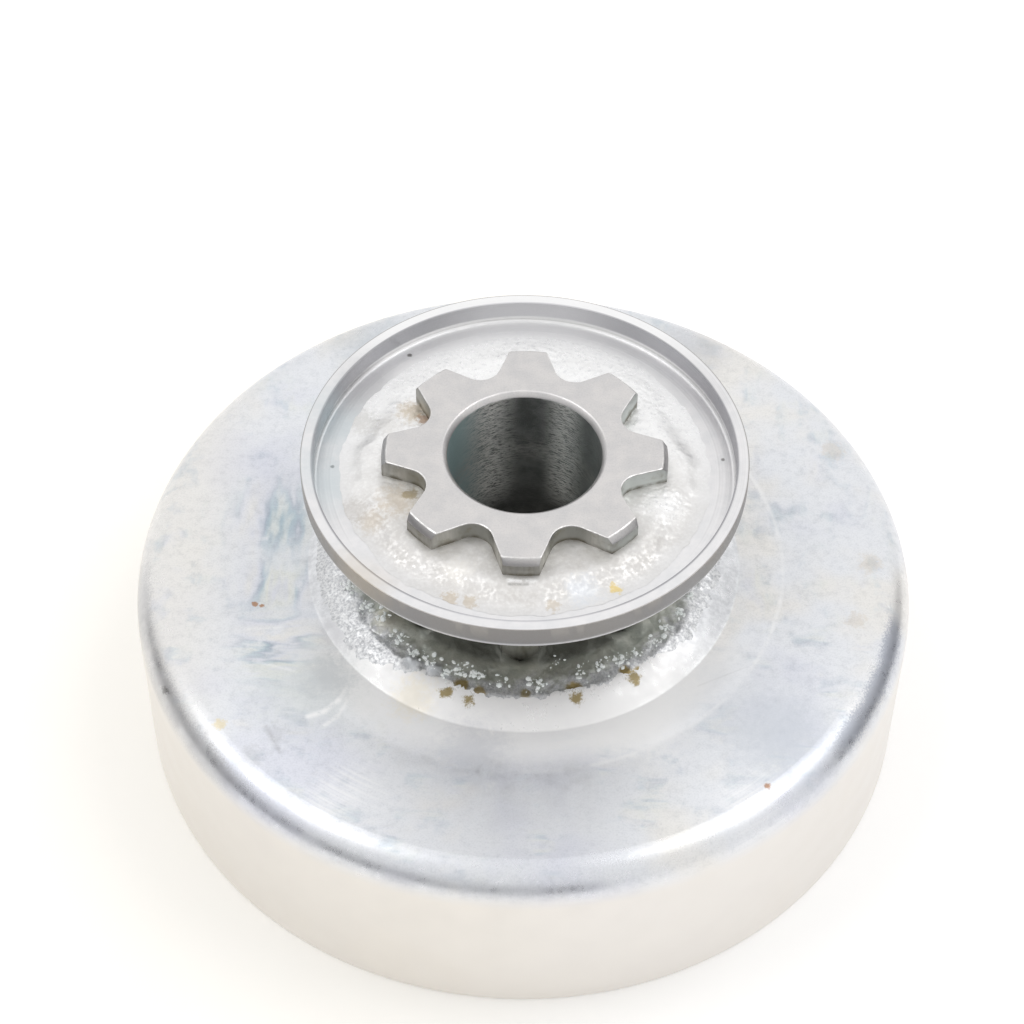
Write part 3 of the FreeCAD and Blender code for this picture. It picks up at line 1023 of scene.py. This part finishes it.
PLATE_SPOTS = [
    ((-17.5, -0.1, 31.4), 0.25, SOOT, 0.9),
    ((-11.2, 14.2, 31.4), 0.3, SOOT, 0.8),
    ((18.1, 1.9, 31.4), 0.25, SOOT, 0.7),
    ((-17.3, 5.0, 31.4), 5.5, BLUE_TINT, 0.5),
    ((-18.0, -2.0, 31.4), 5.5, BLUE_TINT, 0.5),
    ((-15.0, 9.5, 31.4), 4.5, colour(0.55, 0.55, 0.56), 0.6),
    # Painted reflection: a warm tint from the crust on the left of the rim's outside
    ((-14.0, -14.5, 32.6), 5.0, TAN, 0.3),
]
# Radii of the outside of the plate's rim and of its inside wall, and the levels where that wall begins
RIM_OUTSIDE_RADII = (20.15, 20.28)
RIM_INSIDE_RADII = (19.45, 19.25)
RIM_INSIDE_LEVELS = (31.75, 32.05)
LIT_PLATE_BACK = (8.0, 17.0)
PLATE_SIDES = (2.0, 11.0)


def satin_steel():
    """Turned satin steel of the guide plate, with painted light towards the back, painted shade on the inside
    wall of its rim, darkest at its sides, and a darker outside of its rim, partly a duller turning and partly
    painted shade.
    """
    steel = Surface("satin_steel")
    x, y, z = steel.axes
    radius = steel.rings["Radius"]
    patchy = steel.texture(0.6, 5.0, 0.65)
    fine = steel.texture(5.0, 3.0, 0.6)
    turned = steel.turning_lines(5.0, 40.0)
    steel.base = steel.tones(patchy, colour(0.82, 0.81, 0.815), colour(0.75, 0.75, 0.76))
    steel.lay(steel.ramp(turned, 0.2, 0.6, 0.0, 0.8), colour(0.86, 0.855, 0.855), "MULTIPLY")
    steel.lay(steel.times(steel.hairlines(0.8), 0.3), BARE)
    # Painted light: the plate laid towards bare white towards the back
    steel.lay(steel.ramp(y, *LIT_PLATE_BACK, 0.0, 0.75), BARE)
    inside = steel.times(steel.ramp(z, *RIM_INSIDE_LEVELS), steel.ramp(radius, *RIM_INSIDE_RADII))
    aside = steel.math("ABSOLUTE", x)
    shade = steel.tones(aside, colour(0.72, 0.72, 0.74), colour(0.44, 0.44, 0.46), PLATE_SIDES)
    steel.lay(inside, shade, "MULTIPLY")
    # Darker outside of the rim: partly a duller turned finish, partly painted shade
    outside = steel.mix(turned, colour(0.33, 0.315, 0.30), colour(0.20, 0.19, 0.185))
    steel.lay(steel.ramp(radius, *RIM_OUTSIDE_RADII), outside)
    steel.lay_spots(PLATE_SPOTS, steel.fray(1.5))
    return steel.finish(Roughness=steel.ramp(fine, *MIDDLE, 0.32, 0.44), Normal=steel.bump(turned, 0.012))


def ground_steel():
    """The sprocket's ground end."""
    steel = Surface("ground_steel")
    patchy = steel.texture(0.5, 5.0, 0.65)
    fine = steel.texture(6.0, 3.0, 0.6)
    steel.base = steel.tones(patchy, colour(0.69, 0.67, 0.66), colour(0.61, 0.60, 0.60))
    steel.lay(steel.ramp(fine, 0.4, 0.8, 0.0, 0.6), grey(0.85), "MULTIPLY")
    steel.lay(steel.times(steel.hairlines(2.4), 0.25), BARE)
    return steel.finish(Roughness=steel.ramp(fine, *MIDDLE, 0.34, 0.46), Normal=steel.bump(fine, 0.003))


# Spans and places in millimetres on the flanks of the teeth
ROOT_RADII = (10.2, 11.6)
TOOTH_TIP_RADII = (12.7, 12.95)
LIT_RIGHT = (6.0, 9.5)
FLUX_LEVEL = 32.1
FLUX_WIDTH = 0.6


def milled_steel():
    """The darker flanks of the teeth, with painted light on the flanks to the right and burnt flux where they
    meet the plate's pool.
    """
    steel = Surface("milled_steel")
    x, _, z = steel.axes
    radius = steel.rings["Radius"]
    streak = steel.streaks((2.0, 2.0, 0.4), 0.0, 1.2, 4.0, 0.6)
    patchy = steel.texture(0.8, 4.0, 0.6)
    clean = steel.tones(streak, colour(0.46, 0.455, 0.42), colour(0.60, 0.59, 0.55))
    steel.base = steel.tones(radius, colour(0.36, 0.36, 0.33), clean, ROOT_RADII)
    # Painted light: the flanks on the right lighter
    steel.lay(steel.ramp(x, *LIT_RIGHT, 0.0, 0.8), colour(0.72, 0.76, 0.74))
    steel.lay(steel.ramp(radius, *TOOTH_TIP_RADII), grey(0.78), "MULTIPLY")
    steel.lay(steel.ramp(patchy, 0.5, 0.75, 0.0, 0.5), colour(0.24, 0.22, 0.15))
    burnt = steel.times(steel.near(z, FLUX_LEVEL, FLUX_WIDTH), steel.ramp(patchy, 0.35, 0.6, 0.2, 0.8))
    steel.lay(burnt, colour(0.12, 0.105, 0.07))
    return steel.finish(Roughness=steel.ramp(streak, *MIDDLE, 0.36, 0.48), Normal=steel.bump(streak, 0.004))


def worn_steel():
    """The rubbed edges of the sprocket's end."""
    steel = Surface("worn_steel")
    rubbed = steel.texture(1.5, 4.0, 0.6)
    steel.base = steel.tones(rubbed, colour(0.80, 0.79, 0.78), colour(0.58, 0.57, 0.56))
    return steel.finish(Roughness=steel.ramp(rubbed, *MIDDLE, 0.34, 0.46))


# Spans and places in millimetres in the bore
LIT_BLUE_LEFT = (-3.0, -6.0)
LIT_GREY_RIGHT = (4.0, 6.5)
WORN_LEVEL = 26.5
WORN_WIDTH = 2.5
DEEP_LEVELS = (25.0, 19.0)
RIGHT_HIGHLIGHT = (3.5, 2.4)
LEFT_HIGHLIGHT = (-3.4, 3.2)
BAND_BACK = (0.0, 3.0)
BAND_FOOT = (18.0, 23.0)


def bored_steel():
    """The honed bore: dark, with painted light, lighter teal on the left and grey on the right, painted shade
    deeper down, two bands of painted highlight up its far wall broken by the honing, and a worn ring half
    way.
    """
    steel = Surface("bored_steel")
    x, y, z = steel.axes
    honed = steel.streaks((1.0, 1.0, 6.0), 0.0, 1.5, 5.0, 0.7)
    patchy = steel.texture(0.5, 4.0, 0.6)
    steel.base = steel.tones(patchy, colour(0.15, 0.155, 0.15), colour(0.26, 0.265, 0.26))
    # Painted light: the left of the bore lighter and teal, and its right lighter grey
    steel.lay(steel.ramp(x, *LIT_BLUE_LEFT, 0.0, 0.9), colour(0.50, 0.66, 0.67))
    steel.lay(steel.ramp(x, *LIT_GREY_RIGHT, 0.0, 0.5), colour(0.36, 0.38, 0.37))
    worn = steel.times(steel.near(z, WORN_LEVEL, WORN_WIDTH), steel.ramp(honed, 0.4, 0.6))
    steel.lay(steel.times(worn, 0.6), colour(0.55, 0.53, 0.51))
    # Painted shade: darker deeper down the bore
    steel.lay(steel.ramp(z, *DEEP_LEVELS), colour(0.45, 0.45, 0.44), "MULTIPLY")
    # Painted highlight: two bright bands up the far wall, broken by the honing marks
    bands = steel.most(steel.near(x, *RIGHT_HIGHLIGHT), steel.near(x, *LEFT_HIGHLIGHT))
    bands = steel.times(bands, steel.ramp(y, *BAND_BACK))
    bands = steel.times(bands, steel.ramp(z, *BAND_FOOT))
    steel.lay(steel.times(bands, steel.ramp(honed, 0.36, 0.56)), colour(1.0, 0.99, 0.96))
    return steel.finish(Roughness=steel.ramp(honed, *MIDDLE, 0.4, 0.6), Normal=steel.bump(honed, 0.12))


PLATE_POOL_SPOTS = [
    ((-10.3, 6.6, 32.0), 2.2, TAN, 0.6),
    ((-9.4, 5.5, 32.1), 0.9, RUST, 0.5),
    ((-11.1, -4.5, 32.0), 2.6, TAN, 0.4),
    ((-10.2, -3.9, 32.0), 0.9, OLIVE, 0.5),
    ((-13.5, -6.6, 31.7), 1.7, TAN, 0.3),
    ((8.3, -13.6, 31.6), 0.7, YELLOW, 0.7),
    ((-6.1, -15.2, 31.6), 1.0, TAN, 0.45),
    ((-4.4, -15.5, 31.6), 0.9, TAN, 0.4),
    ((2.9, -15.8, 31.6), 0.8, TAN, 0.35),
    ((-5.5, -12.2, 31.7), 1.8, WARM_TINT, 0.6),
    ((-15.2, -5.4, 31.6), 2.0, colour(0.55, 0.52, 0.49), 0.45),
    ((-15.4, 5.6, 31.6), 2.2, colour(0.58, 0.57, 0.54), 0.45),
    ((-12.6, 4.6, 32.0), 2.4, colour(0.66, 0.64, 0.61), 0.4),
    ((5.5, -14.2, 31.8), 2.2, colour(0.78, 0.82, 0.88), 0.5),
]
PLATE_POOL_MARKS = [
    ((-1.0, -13.5, 32.05), (1.2, -13.5, 32.05), 0.4, BARE, 1.0),
    ((-1.0, -13.9, 32.0), (0.6, -13.9, 32.0), 0.25, SOOT, 0.4),
]
FILLER_METALLIC = 0.9
BED_METALLIC = 0.4
BED_LEVEL = 32.0
# Spans in millimetres towards the back and towards the pool's edge
GRAINY_BACK = (-5.0, 9.0)
LIT_POOL_BACK = (-8.0, 8.0)
POOL_EDGE_RADII = (15.0, 16.8)


def plate_filler():
    """Sparkling granular filler metal of the plate's pool, stained between some of the teeth, whiter in its
    bed of crystals, with painted light towards the back and pale specks that are partly painted glints.
    """
    filler = Surface("plate_filler", FILLER_METALLIC)
    back = filler.axes[1]
    patchy = filler.texture(0.5, 5.0, 0.65)
    fine = filler.texture(2.4, 3.0, 0.65)
    sparkle = filler.texture(2.8, 1.5, 0.6)
    bed = filler.soft_spots([((*CRYSTAL_BED.xy, BED_LEVEL), CRYSTAL_BED_RADIUS)])
    coarse = filler.most(filler.ramp(back, *GRAINY_BACK, 0.06, 0.75), bed)
    # Whiter in the bed of crystals, and painted light towards the back
    white = filler.most(filler.ramp(back, *LIT_POOL_BACK, 0.0, 0.95), filler.times(bed, 0.9))
    filler.base = filler.tones(patchy, colour(0.73, 0.72, 0.71), colour(0.66, 0.645, 0.625))
    filler.lay(white, BARE)
    grainy = filler.times(filler.ramp(fine, 0.5, 0.72, 0.0, 0.7), coarse)
    filler.lay(grainy, colour(0.70, 0.71, 0.73), "MULTIPLY")
    # Pale specks on the coarse grains: partly pale grains, partly painted glints
    filler.lay(filler.times(filler.ramp(sparkle, 0.56, 0.62), coarse), BARE)
    filler.lay(filler.ramp(filler.rings["Radius"], *POOL_EDGE_RADII, 0.0, 0.5), colour(0.80, 0.80, 0.81))
    frayed = filler.fray()
    filler.lay_spots(PLATE_POOL_SPOTS, frayed)
    filler.lay_scratches(PLATE_POOL_MARKS, frayed)
    rough = filler.ramp(sparkle, 0.4, 0.7, 0.62, 0.4)
    return filler.finish(
        Metallic=filler.ramp(bed, 0.0, 1.0, FILLER_METALLIC, BED_METALLIC),
        Roughness=filler.math("SUBTRACT", rough, filler.times(white, 0.15)),
        Normal=filler.bump(filler.times(fine, coarse), 0.04),
    )


COLLAR_POOL_SPOTS = [
    ((-12.3, -9.1, 21.0), 2.0, colour(0.46, 0.45, 0.38), 0.9),
    ((-9.8, -13.9, 20.7), 1.1, colour(0.56, 0.58, 0.60), 0.8),
    ((-7.7, -14.6, 20.6), 0.9, colour(0.56, 0.58, 0.60), 0.8),
    ((-5.3, -16.3, 20.2), 1.0, OLIVE, 0.9),
    ((-3.6, -16.9, 20.2), 0.8, OLIVE, 0.8),
    ((-7.4, -15.9, 20.2), 0.7, OLIVE, 0.7),
    ((0.6, -17.0, 20.2), 0.6, OLIVE, 0.7),
    ((5.0, -16.4, 20.2), 1.1, OLIVE, 0.9),
    ((9.6, -14.2, 20.2), 0.8, OLIVE, 0.9),
    ((10.9, -14.2, 20.1), 0.9, OLIVE, 0.9),
]
PALE_RADII = (15.2, 16.8)
DARK_RADII = (14.4, 13.4)
CRUST_STRAY = 1.2


def collar_filler():
    """Dark glassy filler metal, with painted shade that darkens it further at the feet of the teeth, turning
    to pale crust near the crest.
    """
    filler = Surface("collar_filler", 0.85)
    radius = filler.rings["Radius"]
    patchy = filler.texture(0.7, 4.0, 0.6)
    fine = filler.texture(4.0, 4.0, 0.7)
    shifted = filler.math("ADD", radius, filler.ramp(patchy, 0.2, 0.8, -CRUST_STRAY, CRUST_STRAY))
    filler.base = filler.tones(patchy, colour(0.44, 0.46, 0.41), colour(0.60, 0.605, 0.54))
    # Painted shade: darker still near the feet of the teeth, under the plate
    filler.lay(filler.ramp(radius, *DARK_RADII), colour(0.22, 0.225, 0.20))
    pale = filler.tones(fine, colour(0.76, 0.765, 0.77), colour(0.46, 0.47, 0.49), (0.35, 0.7))
    filler.lay(filler.ramp(shifted, *PALE_RADII), pale)
    filler.lay_spots(COLLAR_POOL_SPOTS, filler.fray(1.2))
    return filler.finish(Roughness=filler.ramp(fine, *MIDDLE, 0.3, 0.5), Normal=filler.bump(fine, 0.03))


def white_crystal():
    """Bright crystals of flux and filler metal."""
    crystal = Surface("white_crystal", 0.0)
    tone = crystal.texture(1.5)
    crystal.base = crystal.mix(tone, colour(0.88, 0.95, 0.94), colour(0.98, 0.99, 0.98))
    return crystal.finish(Roughness=crystal.ramp(tone, *MIDDLE, 0.2, 0.4))


make_drum(plated_steel())
make_sprocket(ground_steel(), milled_steel(), bored_steel(), worn_steel())
make_plate(satin_steel())
make_plate_pool(plate_filler())
make_collar_pool(collar_filler(), white_crystal())


# Floor, lights and camera, in metres unless a comment says otherwise
MATT = 0.9
FLOOR_REACH = 4.0
FLOOR_SHEEN = 0.1
FLOOR_GLOW = 0.16
# Where the floor's painted cream shade gives way to white, in millimetres: by its radius and towards the
# right
FLOOR_WHITE_RADII = (45.0, 95.0)
FLOOR_WHITE_RIGHT = (-20.0, 30.0)
SOFTBOX_DISTANCE = 0.55
SOFTBOX_SIZE = 0.27
SOFTBOX_POWER = 0.38
SOFTBOX_ELEVATION = math.radians(64)
# Bearings of the softboxes, and the first and last bearing of each leaf of the card, in degrees
SOFTBOXES = {"left_softbox": 172, "right_softbox": 14}
CARD_LEAVES = {"left_card": (155, 290), "right_card": (-8, 36)}
CARD_DISTANCE = 0.9
CARD_HEIGHT = 0.5
CARD_FOOT = 0.2
CARD_STEPS = 24
BACKDROP_SPREAD = (-0.1, 0.6)
CEILING_WHITE = 0.9
EVEN_LIGHT = 0.8

# The photo's camera: sizes in pixels, its sensor and distance in millimetres
PHOTO_PIXELS = 1024
FOCAL_PIXELS = 2671.23
SENSOR_WIDTH = 36.0
CAMERA_DISTANCE = 241.19
CAMERA_ELEVATION = math.radians(48.068)
CAMERA_SWING = math.radians(0.9)
AIM_RIGHT = -0.0045
AIM_UP = -0.0229
CAMERA_ROLL = 0.0121


def add_stage_mesh(bm, name, material):
    item = add_mesh(bm, name, material)
    return item


def seen_directly(wire):
    """1 for rays from the camera, from gloss and through glass, 0 for the rest."""
    path = wire.add("ShaderNodeLightPath").outputs
    direct = wire.most(path["Is Camera Ray"], path["Is Glossy Ray"])
    return wire.most(direct, path["Is Transmission Ray"])


def add_floor():
    """A plain pale floor with painted shade, cream near the drum and to its left, that keeps the drum's
    shadow.
    """
    floor = Surface("pale_floor", 0.0)
    floor.base = floor.mix(floor.texture(0.05, 3.0), colour(0.935, 0.92, 0.88), colour(0.955, 0.945, 0.915))
    # Painted shade: cream near the drum and on its left, white farther off
    right = floor.ramp(floor.axes[0], *FLOOR_WHITE_RIGHT)
    floor.lay(floor.most(right, floor.ramp(floor.rings["Radius"], *FLOOR_WHITE_RADII)), grey(0.98))
    glow = floor.times(seen_directly(floor), FLOOR_GLOW)
    material = floor.finish(Emission_Color=floor.base, Emission_Strength=glow,
                            Roughness=MATT, Specular_IOR_Level=FLOOR_SHEEN)
    bm = bmesh.new()
    bmesh.ops.create_grid(bm, x_segments=1, y_segments=1, size=FLOOR_REACH)
    add_stage_mesh(bm, "floor", material)


def add_dark_card(name, start, end):
    """A grey card round part of the set, darker at its foot, which only shows as a band in the metal."""
    paper = Surface(name, 0.0)
    span = (CARD_FOOT * CARD_HEIGHT / MM, CARD_HEIGHT / MM)
    paper.base = paper.tones(paper.axes[2], colour(0.16, 0.165, 0.18), colour(0.60, 0.60, 0.61), span)
    bm = bmesh.new()
    low = bm.verts.new(polar(CARD_DISTANCE / MM, start, 0))
    high = bm.verts.new(polar(CARD_DISTANCE / MM, start, CARD_HEIGHT / MM))
    edge = bm.edges.new((low, high))
    spin(bm, [low, high, edge], end - start, CARD_STEPS)
    card = add_stage_mesh(bm, name, paper.finish(Roughness=MATT))
    card.visible_camera = False
    card.visible_diffuse = False
    card.visible_shadow = False


def add_softbox(name, bearing):
    """A round softbox that looks down at the part from a bearing."""
    lamp = bpy.data.lights.new(name, "AREA")
    lamp.shape = "DISK"
    lamp.size = SOFTBOX_SIZE
    lamp.energy = SOFTBOX_POWER
    item = add_object(name, lamp)
    flat = SOFTBOX_DISTANCE * math.cos(SOFTBOX_ELEVATION) / MM
    item.location = polar(flat, bearing, SOFTBOX_DISTANCE * math.sin(SOFTBOX_ELEVATION) / MM)
    item.rotation_euler = item.location.to_track_quat("Z", "Y").to_euler()


def add_world():
    """A white surround for the camera, a softer one for gloss, whitest at the back, and an even light."""
    world = bpy.data.worlds.new("surround")
    bpy.context.scene.world = world
    world.use_nodes = True
    wire = Wiring(world.node_tree)
    towards = wire.separate(wire.add("ShaderNodeTexCoord").outputs["Generated"])
    strength = wire.ramp(towards[1], *BACKDROP_SPREAD, CEILING_WHITE, 1.0)
    seen = wire.add("ShaderNodeBackground", {"Color": grey(1.0), "Strength": 1.0}).outputs[0]
    mirrored = wire.add("ShaderNodeBackground", {"Color": grey(1.0), "Strength": strength}).outputs[0]
    even = world.node_tree.nodes["Background"]
    wire.feed(even.inputs, {"Color": colour(1.0, 0.99, 0.98), "Strength": EVEN_LIGHT})
    path = wire.add("ShaderNodeLightPath").outputs
    sides = {0: path["Is Glossy Ray"], 1: even.outputs[0], 2: mirrored}
    rest = wire.add("ShaderNodeMixShader", sides).outputs[0]
    direct = wire.most(path["Is Camera Ray"], path["Is Transmission Ray"])
    whole = wire.add("ShaderNodeMixShader", {0: direct, 1: rest, 2: seen}).outputs[0]
    wire.feed(world.node_tree.nodes["World Output"].inputs, {"Surface": whole})


def add_camera():
    """The photo's viewpoint: aimed near the top of the sprocket, then turned and rolled a little."""
    level = math.cos(CAMERA_ELEVATION)
    back = Vector((math.sin(CAMERA_SWING) * level, -math.cos(CAMERA_SWING) * level,
                   math.sin(CAMERA_ELEVATION)))
    right = Vector((math.cos(CAMERA_SWING), math.sin(CAMERA_SWING), 0))
    up = right.cross(-back)
    ahead = (AIM_RIGHT * right + AIM_UP * up - back).normalized()
    right = ahead.cross(up).normalized()
    up = right.cross(ahead)
    axes = Matrix((right, up, -ahead)).transposed() @ Matrix.Rotation(CAMERA_ROLL, 3, "Z")
    data = bpy.data.cameras.new("camera")
    data.sensor_width = SENSOR_WIDTH
    data.lens = SENSOR_WIDTH * FOCAL_PIXELS / PHOTO_PIXELS
    camera = add_object("camera", data)
    top = Vector((0, 0, END_LEVEL * MM))
    camera.matrix_world = Matrix.Translation(top + back * CAMERA_DISTANCE * MM) @ axes.to_4x4()
    bpy.context.scene.camera = camera


add_floor()
for leaf, (first, last) in CARD_LEAVES.items():
    add_dark_card(leaf, math.radians(first), math.radians(last))
add_world()
for softbox, bearing in SOFTBOXES.items():
    add_softbox(softbox, math.radians(bearing))
add_camera()
bpy.context.scene.view_settings.view_transform = "Standard"
